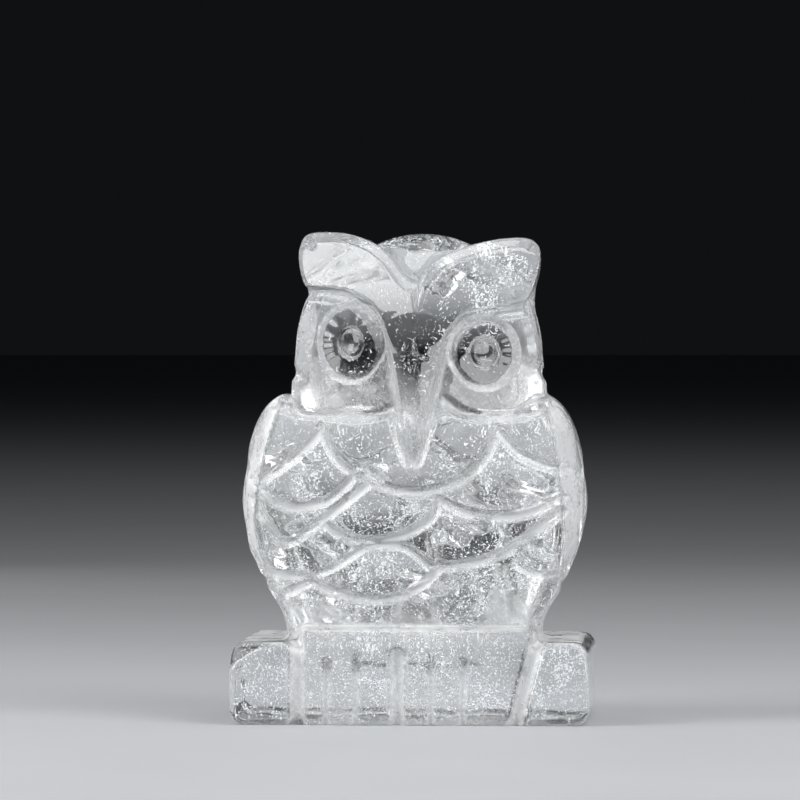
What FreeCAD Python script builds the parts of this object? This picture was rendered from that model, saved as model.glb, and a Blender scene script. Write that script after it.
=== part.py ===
"""A small owl carved from one block of rock crystal, standing on a block perch.

Millimetres, +Z up, the owl looks along -Y. The origin is the middle of the flat bottom.
Left and right are the viewer's, looking at the owl's face: left is -X.
The stone is one piece. It is divided here along its carved lines into named regions,
each a closed solid that meets its neighbours face to face.
"""
import FreeCAD, Part
import math
import os
from FreeCAD import Vector

# ---- driving dimensions ------------------------------------------------------------
HEIGHT = 50.0            # bottom of the perch to the tips of the ear tufts
WIDTH = 36.4             # along the perch
DEPTH = 25.0             # front to back of the perch

PERCH_HEIGHT = 8.4
PERCH_ROUND = 1.5        # rounding of the perch's four long corners, seen from the front
PERCH_EDGE = 0.4         # rounding of its front and back edges
NECK_HEIGHT = 31.4       # where the head meets the breast
WING_TOP = 33.2          # the shoulders rise a little beside the head
HEAD_TOP = 44.0          # flat joint below the crown
CARVE_DEPTH = 0.45       # depth of the feather grooves
CARVE_WIDTH = 0.7        # width of the feather grooves

# The trunk's plan is a rounded box. One row for each level: height, half width,
# reach to the front, reach to the back.
TRUNK = [
    (PERCH_HEIGHT, 13.2, 10.3, 10.8),
    (13.0, 15.0, 11.4, 11.7),
    (18.0, 16.9, 12.0, 12.0),
    (23.0, 17.6, 12.1, 12.0),
    (27.5, 17.0, 12.0, 11.2),
    (31.0, 15.7, 11.6, 10.2),
    (WING_TOP, 13.7, 11.0, 9.0),
]
TRUNK_SQUARENESS = 3.2   # 2 is an ellipse, larger is nearer to a box

# The face is two flat planes that meet in an upright edge, each turned away from it.
# The head looks a little to the right, so the left plane is turned further back.
FACE_TURN = {-1: math.radians(33.0), 1: math.radians(25.0)}
FACE_EDGE = Vector(0.7, -11.25, 0.0)
HEAD_MIDDLE = 0.4        # the head sits a little to the right of the trunk
# One row for each level of the head: height, half width, back.
HEAD = [
    (NECK_HEIGHT, 12.6, 9.0),
    (35.0, 12.9, 9.9),
    (39.0, 12.6, 10.0),
    (HEAD_TOP, 11.2, 9.0),
]

# Each eye: distance from the face's upright edge along the face, height, radius, and
# the width of the ring that the tube drill cut round it. The carver drilled by eye.
EYES = {
    -1: (8.4, 38.7, 3.65, 0.6),
    1: (7.5, 37.7, 3.2, 0.8),
}
EYE_DEEP = 1.6           # how far the eye's plug goes into the head
EYE_PROUD = 0.35
EYE_BEVEL = 0.3
RING_DEEP = 0.6          # depth of the drilled ring
PUPIL_RADIUS = 1.45
PUPIL_DEEP = 1.2
PUPIL_PROUD = 0.15
DISH_RADIUS = 2.4        # the pupil's end is dished
DISH_DEEP = 0.2

FOOT_TOP = 9.9
TOE_ROUND = 1.3          # rounding of the toes' front, where it meets the breast
FOOT_REACH = 3.3         # how far a foot goes back over the perch
FEET_EDGES = (-11.3, -1.2, 12.2)
# Grooves between the toes: distance to the right, height of the groove's top.
TOE_GROOVES = ((-8.4, 6.1), (-5.4, 7.5), (2.2, 7.5), (5.4, 6.2))
FOOT_GAP_TOP = 6.9       # top of the wide groove between the feet
WIDE_GROOVE = 0.85       # radii of the grooves beside the feet and between the toes
TOE_GROOVE = 0.5
RIGHT_GROOVE_SHIFT = (-1.4, 2.4)   # the right foot's outer groove leans out as it rises

BEAK_TOP = 41.2
BEAK_TIP = 25.9
BEAK_DEEP = 5.0
BEAK_SLOPE = 0.7         # fall of the beak's two faces away from its ridge

CROWN_TOP = 49.9
CROWN_HALF_WIDTH = 10.8
CROWN_HALF_DEPTH = 8.6
CROWN_MIDDLE = (0.8, 0.6)

TUFT_PROUD = 1.0         # how far the brows stand in front of the face planes
# How far the brows go back behind the face planes, by height: thin tips on thick roots.
TUFT_BACK = [(6.2, 30.0), (6.2, 43.0), (2.6, 50.5)]
# The brows seen from the front, as (x, z): up the face's edge, out along the top to
# the blunt tip, and back along the underside.
LEFT_TUFT = [(0.7, 39.0), (0.3, 44.0), (-2.8, 48.3), (-6.4, 49.65), (-10.4, 49.4), (-11.6, 47.3),
             (-10.8, 44.6), (-6.6, 43.8), (-3.0, 41.4)]
RIGHT_TUFT = [(0.7, 39.0), (1.2, 44.4), (4.3, 47.8), (7.6, 49.0), (11.6, 49.0), (12.9, 47.0),
              (11.7, 43.4), (6.6, 41.9), (3.8, 39.8)]

# Feather lines on the breast, each an arc through three points (x, z).
BREAST_LINES = [
    [(-9.0, 30.3), (0.3, 23.7), (8.8, 30.3)],
    [(-9.0, 29.9), (-11.3, 27.5), (-14.6, 25.1)],
    [(8.9, 29.9), (11.3, 27.5), (14.5, 26.1)],
    [(-15.1, 24.1), (-10.8, 22.1), (-6.1, 24.8)],
    [(-4.3, 24.4), (-9.3, 20.5), (-12.7, 18.6)],
    [(-15.6, 22.6), (-14.6, 20.3), (-12.7, 18.6)],
    [(-8.3, 20.3), (-3.8, 18.7), (2.4, 21.2)],
    [(2.8, 23.1), (8.9, 21.2), (15.0, 23.1)],
    [(2.8, 16.2), (9.6, 17.6), (15.0, 21.4)],
    [(-14.4, 15.3), (-11.0, 15.1), (-7.2, 16.3)],
    [(-7.2, 16.3), (-2.0, 18.4), (2.1, 16.2)],
    [(-9.9, 14.7), (-3.9, 12.8), (2.4, 15.2)],
    [(-13.1, 13.4), (-11.6, 13.8), (-9.9, 14.7)],
]

BREAST_BACK = -5.0       # the breast is in front of this plane and the back behind it

# A folded wing seen from the side, as (y, z).
WING = [(-13.6, WING_TOP + 1.5), (-13.8, 24.0), (-11.8, 16.0), (-4.6, 14.6), (3.6, 13.6),
        (8.4, 12.6), (10.4, 17.0), (11.2, 24.0), (9.6, 30.0), (7.0, WING_TOP + 1.5)]
# The joint between the breast and a wing seen from the front: x from the middle, then z.
WING_JOINT = [(12.2, WING_TOP + 2.0), (13.4, 31.6), (15.0, 25.6), (15.6, 21.4), (14.6, 15.6), (13.4, 11.0)]
# Feather lines on a wing, each an arc through three points (y, z).
WING_LINES = [
    [(-8.2, 28.2), (-4.6, 25.0), (-1.2, 28.0)],
    [(-1.2, 28.0), (2.4, 25.0), (5.8, 28.0)],
    [(-5.0, 25.0), (-4.6, 20.4), (4.4, 14.4)],
    [(-0.8, 25.6), (-0.4, 20.4), (7.0, 14.6)],
    [(4.0, 25.6), (4.0, 20.6), (9.6, 16.0)],
]


TAIL_TOP = 22.0
TAIL_BEND = 17.0         # below this level the tail hangs straight down
TAIL_INNER = 8.0         # from the middle of the owl to the root of the tail
TAIL_OUTER = 12.45
TAIL_TOP_HALF = 4.6      # half widths
TAIL_FOOT_HALF = 6.2
TAIL_GROOVE = 1.8        # from the middle to a groove between two feathers
TAIL_GROOVE_RADIUS = 0.4


# ---- helpers -----------------------------------------------------------------------
def smooth_ring(points):
    """One closed smooth edge through the points, as a wire."""
    curve = Part.BSplineCurve()
    curve.interpolate(points, PeriodicFlag=True)
    return Part.Wire([curve.toShape()])


def trunk_ring(level, inset):
    """The rounded-box plan of the trunk at one level, drawn in by inset."""
    height, half_width, front, back = level
    points = []
    for step in range(16):
        angle = 2 * math.pi * step / 16
        across = math.cos(angle)
        along = math.sin(angle)
        power = TRUNK_SQUARENESS
        size = (abs(across) ** power + abs(along) ** power) ** (-1 / power)
        reach = (back if along > 0 else front) - inset
        points.append(Vector((half_width - inset) * across * size, reach * along * size, height))
    return smooth_ring(points)


def trunk(inset=0.0):
    return Part.makeLoft([trunk_ring(level, inset) for level in TRUNK], True)


def prism(corners, axis, start, length):
    """A prism on a polygon. The two plan axes follow from the axis: "y" takes (x, z)
    corners and "x" takes (y, z) corners."""
    if axis == "y":
        points = [Vector(x, start, z) for x, z in corners]
        direction = Vector(0, length, 0)
    else:
        points = [Vector(start, y, z) for y, z in corners]
        direction = Vector(length, 0, 0)
    return Part.Face(Part.makePolygon(points + points[:1])).extrude(direction)


def block(x_range, y_range, z_range):
    low = Vector(x_range[0], y_range[0], z_range[0])
    high = Vector(x_range[1], y_range[1], z_range[1])
    size = high - low
    return Part.makeBox(size.x, size.y, size.z, low)


def rod(start, end, radius):
    way = end - start
    return Part.makeCylinder(radius, way.Length, start, way)


def one_solid(shape):
    """The shape's largest solid, so that no crumb of a cut is left over."""
    return max(shape.Solids, key=lambda solid: solid.Volume)


def face_normal(side):
    """Outward normal of one face plane: side is -1 for left and +1 for right."""
    return Vector(side * math.sin(FACE_TURN[side]), -math.cos(FACE_TURN[side]), 0)


def face_along(side):
    """Level direction on a face plane, from the upright edge out to the cheek."""
    return Vector(side * math.cos(FACE_TURN[side]), math.sin(FACE_TURN[side]), 0)


# ---- perch and feet ----------------------------------------------------------------
def base_block():
    solid = block((-WIDTH / 2, WIDTH / 2), (-DEPTH / 2, DEPTH / 2), (0, PERCH_HEIGHT))
    corners = [edge for edge in solid.Edges if edge.BoundBox.YLength > 1]
    solid = solid.makeFillet(PERCH_ROUND, corners)
    rims = [edge for edge in solid.Edges if edge.BoundBox.YLength < 1e-6]
    return solid.makeFillet(PERCH_EDGE, rims)


def foot_blank(x_from, x_to):
    """A slab of toes on the perch's front, rounded over where it meets the breast."""
    front = -DEPTH / 2
    slab = block((x_from, x_to), (front, front + FOOT_REACH), (0, FOOT_TOP))
    level_edges = [edge for edge in slab.Edges
                   if abs(edge.BoundBox.YMax - front) < 1e-6 and edge.BoundBox.ZLength < 1e-6]
    top_edge = max(level_edges, key=lambda edge: edge.BoundBox.ZMax)
    bottom_edge = min(level_edges, key=lambda edge: edge.BoundBox.ZMax)
    return slab.makeFillet(TOE_ROUND, [top_edge]).makeFillet(PERCH_EDGE, [bottom_edge])


def foot_grooves():
    """Upright channels: wide ones beside the feet, narrow ones between the toes."""
    def channel(x, top, radius, top_shift=0.0):
        front = -DEPTH / 2 - 0.2 * radius
        return rod(Vector(x, front, -1), Vector(x + top_shift, front, top), radius)

    left_edge, middle, right_edge = FEET_EDGES
    foot_shift, lean = RIGHT_GROOVE_SHIFT
    cuts = [
        channel(left_edge, FOOT_TOP + 1, WIDE_GROOVE),
        channel(middle, FOOT_GAP_TOP, WIDE_GROOVE),
        channel(right_edge + foot_shift, FOOT_TOP + 1, WIDE_GROOVE, lean),
    ]
    cuts += [channel(x, top, TOE_GROOVE) for x, top in TOE_GROOVES]
    return cuts[0].multiFuse(cuts[1:])


# ---- head --------------------------------------------------------------------------
def head_ring(level):
    """Plan of the head at one level: two face planes, straight cheeks, a round back."""
    height, half_width, back = level
    edge = Vector(FACE_EDGE.x, FACE_EDGE.y, height)
    cheek = {}
    for side in (-1, 1):
        along = face_along(side)
        cheek[side] = edge + along * ((HEAD_MIDDLE + side * half_width - edge.x) / along.x)
    rear_left = Vector(HEAD_MIDDLE - half_width, back - 6.0, height)
    rear_right = Vector(HEAD_MIDDLE + half_width, back - 6.0, height)
    rear = Part.Arc(rear_right, Vector(HEAD_MIDDLE, back, height), rear_left).toShape()
    return Part.Wire([
        Part.makeLine(edge, cheek[1]),
        Part.makeLine(cheek[1], rear_right),
        rear,
        Part.makeLine(rear_left, cheek[-1]),
        Part.makeLine(cheek[-1], edge),
    ])


def head_blank():
    return Part.makeLoft([head_ring(level) for level in HEAD], True)


def crown_blank():
    """A low dome behind the tufts: half an ellipsoid on the head's flat top."""
    dome = FreeCAD.Matrix()
    dome.scale(CROWN_HALF_WIDTH, CROWN_HALF_DEPTH, CROWN_TOP - HEAD_TOP)
    dome.move(Vector(CROWN_MIDDLE[0], CROWN_MIDDLE[1], HEAD_TOP))
    ball = Part.makeSphere(1.0).transformGeometry(dome)
    return ball.common(block((-WIDTH, WIDTH), (-DEPTH, DEPTH), (HEAD_TOP, HEIGHT)))


def tuft_slab(side):
    """A slab parallel to one face plane that gets thinner towards the tips of the tufts."""
    section = [(TUFT_PROUD, TUFT_BACK[-1][1]), (TUFT_PROUD, TUFT_BACK[0][1])]
    section += [(-back, height) for back, height in TUFT_BACK]
    corners = [FACE_EDGE + face_normal(side) * ahead + Vector(0, 0, height) for ahead, height in section]
    face = Part.Face(Part.makePolygon(corners + corners[:1]))
    return face.extrude(face_along(side) * WIDTH)


def tuft_blank(side):
    """A brow that sweeps up from the beak to a blunt ear tuft."""
    points = LEFT_TUFT if side < 0 else RIGHT_TUFT
    ring = smooth_ring([Vector(x, -DEPTH, z) for x, z in points])
    outline = Part.Face(ring).extrude(Vector(0, DEPTH, 0))
    return outline.common(tuft_slab(side))


def beak_blank():
    """A long narrow V, ridged down the middle, whose tip lies on the breast."""
    middle = FACE_EDGE.x
    ridge = -DEPTH / 2
    corners = [
        (middle - 3.2, BEAK_TOP),
        (middle - 2.2, 34.5),
        (middle - 0.3, BEAK_TIP),
        (middle + 0.3, BEAK_TIP),
        (middle + 2.2, 34.0),
        (middle + 3.4, BEAK_TOP),
    ]
    outline = prism(corners, "y", ridge, BEAK_DEEP)
    spread = BEAK_DEEP / BEAK_SLOPE
    roof = [Vector(middle, ridge, 0), Vector(middle - spread, ridge + BEAK_DEEP, 0),
            Vector(middle + spread, ridge + BEAK_DEEP, 0)]
    return outline.common(Part.Face(Part.makePolygon(roof + roof[:1])).extrude(Vector(0, 0, HEIGHT)))


def eye_centre(side):
    from_edge, height, _, _ = EYES[side]
    point = FACE_EDGE + face_along(side) * from_edge
    return Vector(point.x, point.y, height)


def eye_rod(side, radius, proud, deep):
    """A round plug square to the face plane."""
    normal = face_normal(side)
    centre = eye_centre(side)
    return rod(centre - normal * deep, centre + normal * proud, radius)


def eye_blank(side):
    plug = eye_rod(side, EYES[side][2], EYE_PROUD, EYE_DEEP)
    rim = [edge for edge in plug.Edges
           if edge.Curve.TypeId == "Part::GeomCircle"
           and (edge.Curve.Center - eye_centre(side)).dot(face_normal(side)) > 0]
    return plug.makeChamfer(EYE_BEVEL, rim)


def pupil_blank(side):
    """A short plug with a dished end."""
    plug = eye_rod(side, PUPIL_RADIUS, PUPIL_PROUD, PUPIL_DEEP)
    dish = Part.makeSphere(DISH_RADIUS, eye_centre(side) + face_normal(side) * (DISH_RADIUS - DISH_DEEP))
    return plug.cut(dish)


# ---- wings, tail and feathers ------------------------------------------------------
def wing_region(side):
    """The space of a folded wing, outside its joint with the breast and the back."""
    ring = smooth_ring([Vector(0, y, z) for y, z in WING])
    side_view = Part.Face(ring).extrude(Vector(WIDTH * side, 0, 0))
    corners = [(x * side, z) for x, z in WING_JOINT]
    corners += [(WIDTH * side, WING_JOINT[-1][1]), (WIDTH * side, WING_JOINT[0][1])]
    return side_view.common(prism(corners, "y", -DEPTH, 2 * DEPTH))


def grooves_through(lines, axis, start, length):
    """Curved walls along feather lines, for cutting."""
    cuts = []
    for line in lines:
        if axis == "x":
            first, middle, last = [Vector(0, a, b) for a, b in line]
        else:
            first, middle, last = [Vector(a, 0, b) for a, b in line]
        cuts.append(band(Part.Arc(first, middle, last).toShape(), CARVE_WIDTH, axis, start, length))
    return cuts[0].multiFuse(cuts[1:])


def tail_blank():
    """Three tail feathers that hang over the back of the perch's top."""
    root = Vector(0, TAIL_INNER, TAIL_TOP)
    bend = Vector(0, TAIL_OUTER, TAIL_BEND)
    foot = Vector(0, TAIL_OUTER, PERCH_HEIGHT)
    side_view = [(root.y, root.z), (bend.y, bend.z), (foot.y, foot.z), (root.y, foot.z)]
    profile = prism(side_view, "x", -WIDTH / 2, WIDTH)
    back_view = [(-TAIL_TOP_HALF, TAIL_TOP), (TAIL_TOP_HALF, TAIL_TOP),
                 (TAIL_FOOT_HALF, PERCH_HEIGHT), (-TAIL_FOOT_HALF, PERCH_HEIGHT)]
    tail = profile.common(prism(back_view, "y", 0.0, DEPTH))
    for side in (-1, 1):
        shift = Vector(TAIL_GROOVE * side, 0.1, 0)
        for start, end in ((root, bend), (bend, foot)):
            tail = tail.cut(rod(start + shift, end + shift, TAIL_GROOVE_RADIUS))
    return tail


def band(edge, width, axis, start, length):
    """A strip of even width along an arc, extruded into a curved wall."""
    inner = edge.Curve.copy()
    inner.Radius -= width / 2
    outer = edge.Curve.copy()
    outer.Radius += width / 2
    low = inner.toShape(edge.FirstParameter, edge.LastParameter)
    high = outer.toShape(edge.FirstParameter, edge.LastParameter)
    ring = Part.Wire(Part.__sortEdges__([
        low, high,
        Part.makeLine(low.valueAt(low.FirstParameter), high.valueAt(high.FirstParameter)),
        Part.makeLine(low.valueAt(low.LastParameter), high.valueAt(high.LastParameter)),
    ]))
    wall = Part.Face(ring)
    if axis == "x":
        wall.translate(Vector(start, 0, 0))
        return wall.extrude(Vector(length, 0, 0))
    wall.translate(Vector(0, start, 0))
    return wall.extrude(Vector(0, length, 0))


# ---- the regions of the stone ------------------------------------------------------
def build_regions():
    full_trunk = trunk()
    core_trunk = trunk(CARVE_DEPTH)
    carve_skin = full_trunk.cut(core_trunk)

    base = base_block()
    grooves = foot_grooves()
    left_edge, middle_edge, right_edge = FEET_EDGES
    feet = {
        "left_foot": foot_blank(left_edge, middle_edge),
        "right_foot": foot_blank(middle_edge, right_edge),
    }
    both_feet = feet["left_foot"].fuse(feet["right_foot"])

    regions = {"perch": one_solid(base.cut(both_feet).cut(grooves))}
    for name, foot in feet.items():
        regions[name] = one_solid(foot.cut(grooves))

    beak = beak_blank()
    tufts = {side: tuft_blank(side).cut(beak) for side in (-1, 1)}
    both_tufts = tufts[-1].fuse(tufts[1])
    head = head_blank().cut(beak).cut(both_tufts)
    for side, word in ((-1, "left"), (1, "right")):
        _, _, radius, ring_width = EYES[side]
        pupil = pupil_blank(side)
        eye = eye_blank(side).cut(eye_rod(side, PUPIL_RADIUS, EYE_PROUD + 1, PUPIL_DEEP))
        drilled_ring = eye_rod(side, radius + ring_width, EYE_PROUD, RING_DEEP)
        head = head.cut(eye_rod(side, radius, EYE_PROUD, EYE_DEEP)).cut(drilled_ring)
        regions[word + "_pupil"] = one_solid(pupil)
        regions[word + "_eye"] = one_solid(eye)
        regions[word + "_ear_tuft"] = one_solid(tufts[side])
    regions["beak"] = one_solid(beak)
    regions["head"] = one_solid(head)
    regions["crown"] = one_solid(crown_blank().cut(both_tufts))

    head_space = head_blank().fuse(beak)
    body = full_trunk.cut(head_space).cut(both_feet)
    wing_spaces = {side: wing_region(side) for side in (-1, 1)}
    for side, word in ((-1, "left"), (1, "right")):
        wing = body.common(wing_spaces[side])
        feather_lines = grooves_through(WING_LINES, "x", 0.0, WIDTH * side)
        regions[word + "_wing"] = one_solid(wing.cut(feather_lines.common(carve_skin)))
    body = body.cut(wing_spaces[-1]).cut(wing_spaces[1])
    all_across = (-WIDTH, WIDTH)
    body = body.common(block(all_across, (-DEPTH, DEPTH), (PERCH_HEIGHT, NECK_HEIGHT)))
    tail = tail_blank()
    regions["tail"] = one_solid(tail)
    front = body.common(block(all_across, (-DEPTH, BREAST_BACK), (0, HEIGHT)))
    feather_lines = grooves_through(BREAST_LINES, "y", -DEPTH, DEPTH + BREAST_BACK)
    regions["breast"] = one_solid(front.cut(feather_lines.common(carve_skin)))
    rear = body.common(block(all_across, (BREAST_BACK, DEPTH), (0, HEIGHT)))
    regions["back"] = one_solid(rear.cut(tail))
    return regions


os.makedirs("parts", exist_ok=True)
for node_name, node_solid in build_regions().items():
    node_solid.exportStep("parts/" + node_name + ".step")
    print(node_name, round(node_solid.Volume, 1), node_solid.isValid())
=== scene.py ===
import math

import bpy
import numpy as np
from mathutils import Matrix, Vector


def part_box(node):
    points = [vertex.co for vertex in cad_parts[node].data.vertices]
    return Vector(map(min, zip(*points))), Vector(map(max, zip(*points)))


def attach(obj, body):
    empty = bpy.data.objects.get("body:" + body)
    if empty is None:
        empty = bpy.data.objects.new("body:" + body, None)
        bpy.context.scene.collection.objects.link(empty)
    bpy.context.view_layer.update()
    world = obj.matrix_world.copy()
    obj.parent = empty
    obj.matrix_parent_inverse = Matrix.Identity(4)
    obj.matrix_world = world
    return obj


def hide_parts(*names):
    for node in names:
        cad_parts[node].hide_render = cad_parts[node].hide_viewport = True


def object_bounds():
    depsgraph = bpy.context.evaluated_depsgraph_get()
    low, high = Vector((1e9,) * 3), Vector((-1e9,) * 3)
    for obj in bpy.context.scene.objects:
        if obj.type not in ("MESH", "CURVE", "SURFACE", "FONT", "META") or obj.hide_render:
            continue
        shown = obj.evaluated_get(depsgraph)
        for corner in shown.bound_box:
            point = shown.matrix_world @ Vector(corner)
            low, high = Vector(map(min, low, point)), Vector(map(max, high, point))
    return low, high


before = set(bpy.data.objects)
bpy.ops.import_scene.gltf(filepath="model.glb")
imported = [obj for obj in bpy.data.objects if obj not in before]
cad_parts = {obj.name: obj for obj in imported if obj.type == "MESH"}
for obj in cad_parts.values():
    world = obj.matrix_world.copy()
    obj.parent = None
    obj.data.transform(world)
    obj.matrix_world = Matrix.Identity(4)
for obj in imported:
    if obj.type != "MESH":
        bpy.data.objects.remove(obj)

MM = 0.001
CELL = 0.24   # mesh pitch, mm
RNG = np.random.default_rng(7)


def box_mm(node):
    low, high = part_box(node)
    return np.array(low) / MM, np.array(high) / MM


cad_low, cad_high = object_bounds()

# ---- places read from the CAD frame, mm ---------------------------------------------
PERCH_LOW, PERCH_HIGH = box_mm("perch")
PERCH_TOP = PERCH_HIGH[2]
NECK = box_mm("head")[0][2]
SHOULDER = box_mm("left_wing")[1][2]
TOP = cad_high[2] / MM
FRONT = PERCH_LOW[1]
BACK = PERCH_HIGH[1]
HALF_WIDE = box_mm("right_wing")[1][0]
BEAK_LOW, BEAK_HIGH = box_mm("beak")
BEAK_TIP = BEAK_LOW[2]
CROWN_LOW, CROWN_HIGH = box_mm("crown")
TAIL_HIGH = box_mm("tail")[1]
FEET_LOW, FEET_HIGH = box_mm("left_foot")
FEET_MIDDLE = FEET_HIGH[0]
RIGHT_FOOT_END = box_mm("right_foot")[1][0]
EYES = {side: sum(box_mm(word + "_eye")) / 2 for side, word in ((-1, "left"), (1, "right"))}

# The face is two flat planes that meet in an upright edge below the brows.
FACE_TURN = {-1: math.radians(33.0), 1: math.radians(25.0)}
FACE_X = (BEAK_LOW[0] + BEAK_HIGH[0]) / 2
BROW_PROUD = 0.95        # the brows and the beak stand this far off the face
FACE_Y = FRONT + 0.15 + BROW_PROUD / math.cos(FACE_TURN[-1])


# ---- distance-field helpers ---------------------------------------------------------
def both(a, b, blend):
    """Where two solids overlap, with the edge between them rounded."""
    mix = np.clip(0.5 + 0.5 * (a - b) / blend, 0, 1)
    return b + (a - b) * mix + blend * mix * (1 - mix)


def either(a, b, blend):
    """Two solids joined, with the corner between them filled."""
    return -both(-a, -b, blend)


def ramp(value, start, end):
    """0 at start, 1 at end, smooth between."""
    share = np.clip((value - start) / (end - start), 0, 1)
    return share * share * (3 - 2 * share)


def band(value, start, full, fade, end):
    """1 between full and fade, 0 outside start and end, smooth between."""
    return ramp(value, start, full) * ramp(value, end, fade)


def profile(height, rows, column):
    """A smooth curve through one column of a short table, by height."""
    knots = np.array([row[0] for row in rows], float)
    values = np.array([row[column] for row in rows], float)
    slopes = np.gradient(values, knots)
    span = np.clip(np.searchsorted(knots, height) - 1, 0, len(knots) - 2)
    width = knots[span + 1] - knots[span]
    share = np.clip((height - knots[span]) / width, 0, 1)
    rise = values[span + 1] - values[span]
    bend_low = slopes[span] * width - rise
    bend_high = rise - slopes[span + 1] * width
    return (values[span] + rise * share
            + share * (1 - share) * (bend_low * (1 - share) + bend_high * share))


def rounded_plan(x, y, half, front, back, power):
    """Distance from an upright wall whose plan is an ellipse or a rounded box."""
    along = np.where(y < 0, front, back)
    size = (np.abs(x / half) ** power + np.abs(y / along) ** power) ** (1 / power)
    return np.hypot(x, y) * (size - 1) / np.maximum(size, 0.05)


def long_block(x, y, z, low, high, radius, edge):
    """A block whose corners are round seen from the front, and whose front and back
    faces have small edges."""
    centre = (low + high) / 2
    half = (high - low) / 2
    across = np.abs(x - centre[0]) - half[0] + radius
    up = np.abs(z - centre[2]) - half[2] + radius
    past_corner = np.hypot(np.maximum(across, 0), np.maximum(up, 0))
    outline = past_corner + np.minimum(np.maximum(across, up), 0) - radius
    return both(outline, np.abs(y - centre[1]) - half[1], edge)


def smooth_curve(points, closed=False, steps=8):
    """Points along a smooth curve through a few given points."""
    points = np.array(points, float)
    if closed:
        padded = np.vstack([points[-1], points, points[:2]])
    else:
        padded = np.vstack([2 * points[0] - points[1], points, 2 * points[-1] - points[-2]])
    share = np.linspace(0, 1, steps, endpoint=False)[:, None]
    spans = []
    for a, b, c, d in zip(padded[:-3], padded[1:-2], padded[2:-1], padded[3:]):
        spans.append(0.5 * (2 * b + (c - a) * share + (2 * a - 5 * b + 4 * c - d) * share ** 2
                            + (3 * b - a - 3 * c + d) * share ** 3))
    spans.append(padded[-2][None])
    return np.vstack(spans)


def distance_to_line(u, v, line):
    """In a plane, the distance from points to a run of straight pieces, and which points
    lie below the nearest place on it."""
    best = np.full(u.shape, 1e9)
    drop = np.zeros(u.shape)
    for (u0, v0), (u1, v1) in zip(line[:-1], line[1:]):
        du, dv = u1 - u0, v1 - v0
        share = np.clip(((u - u0) * du + (v - v0) * dv) / max(du * du + dv * dv, 1e-9), 0, 1)
        away = (u - u0 - share * du) ** 2 + (v - v0 - share * dv) ** 2
        nearer = away < best
        drop = np.where(nearer, v0 + share * dv - v, drop)
        best = np.where(nearer, away, best)
    return np.sqrt(best), drop > 0


class FlatMap:
    """A function of two lengths, kept on a fine square grid and read between its points."""

    PITCH = 0.05

    def __init__(self, u_range, v_range):
        self.ranges = (u_range, v_range)
        self.start = (u_range[0], v_range[0])
        u = np.arange(u_range[0], u_range[1], self.PITCH)
        v = np.arange(v_range[0], v_range[1], self.PITCH)
        self.u, self.v = np.meshgrid(u, v, indexing="ij")
        self.values = np.zeros(self.u.shape)

    def read(self, u, v):
        i = np.clip((u - self.start[0]) / self.PITCH, 0, self.values.shape[0] - 1.001)
        j = np.clip((v - self.start[1]) / self.PITCH, 0, self.values.shape[1] - 1.001)
        i0, j0 = i.astype(int), j.astype(int)
        fi, fj = i - i0, j - j0
        grid = self.values
        return ((grid[i0, j0] * (1 - fi) + grid[i0 + 1, j0] * fi) * (1 - fj)
                + (grid[i0, j0 + 1] * (1 - fi) + grid[i0 + 1, j0 + 1] * fi) * fj)

    def near(self, line, reach):
        """The part of the grid within reach of a line, as index slices."""
        low = (line.min(0) - reach - np.array(self.start)) / self.PITCH
        high = (line.max(0) + reach - np.array(self.start)) / self.PITCH
        return tuple(slice(max(0, int(a)), max(0, int(b) + 2)) for a, b in zip(low, high))

    def carve(self, points, half_width, depth, lower_width=None):
        """A round-bottomed groove along a smooth curve. Its lower side may be wider."""
        line = smooth_curve(points)
        lower_width = lower_width or half_width
        part = self.near(line, max(half_width, lower_width))
        away, below = distance_to_line(self.u[part], self.v[part], line)
        away = away / np.where(below, lower_width, half_width)
        cut = depth * np.clip(1 - away ** 2, 0, 1) ** 1.5
        self.values[part] = np.maximum(self.values[part], cut)

    def feathers(self, lines):
        """Feather lines, with the feathers between them a little swollen."""
        swell = FlatMap(*self.ranges)
        for points in lines:
            swell.carve(points, *PILLOW)
            self.carve(points, *LAP)
        self.values += swell.values

    def outline(self, points):
        """Signed distance to a closed smooth outline: negative inside it."""
        line = smooth_curve(points, closed=True)
        away, _ = distance_to_line(self.u, self.v, line)
        inside = np.zeros(self.u.shape, bool)
        for (u0, v0), (u1, v1) in zip(line[:-1], line[1:]):
            crosses = (self.v < v0) != (self.v < v1)
            if v1 != v0:
                inside ^= crosses & (self.u < (u1 - u0) * (self.v - v0) / (v1 - v0) + u0)
        self.values = np.where(inside, -away, away)
        return self


# ---- the outlines and grooves, mm ---------------------------------------------------
# Many points of the breast, neck, beak, brow, trunk, head and wing-joint tables came out of
# a separate script that turned places picked by eye on the reference photograph into
# millimetres. They weren't chosen by hand or worked out from the frame.
# Trunk by height: half width, reach to the front, reach to the back.
TRUNK = [
    (PERCH_TOP - 1.0, 0.735 * HALF_WIDE, 10.4, 10.6),
    (10.2, 0.765 * HALF_WIDE, 10.8, 11.0),
    (13.8, 0.875 * HALF_WIDE, 11.5, 11.7),
    (18.0, 0.965 * HALF_WIDE, 12.0, 12.0),
    (23.0, HALF_WIDE, 12.2, 12.0),
    (27.5, 0.965 * HALF_WIDE, 12.0, 11.2),
    (31.0, 0.900 * HALF_WIDE, 11.6, 10.2),
    (SHOULDER + 0.4, 0.800 * HALF_WIDE, 11.0, 9.0),
]

# Head by height: half width, reach to the back.
HEAD = [
    (NECK - 1.0, 12.5, 8.8),
    (33.5, 13.1, 9.6),
    (36.5, 12.8, 10.0),
    (40.5, 12.3, 9.8),
    (43.5, 11.3, 9.0),
    (46.0, 9.6, 7.6),
]
HEAD_MIDDLE = 0.4        # the head sits a little to the right of the trunk

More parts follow.
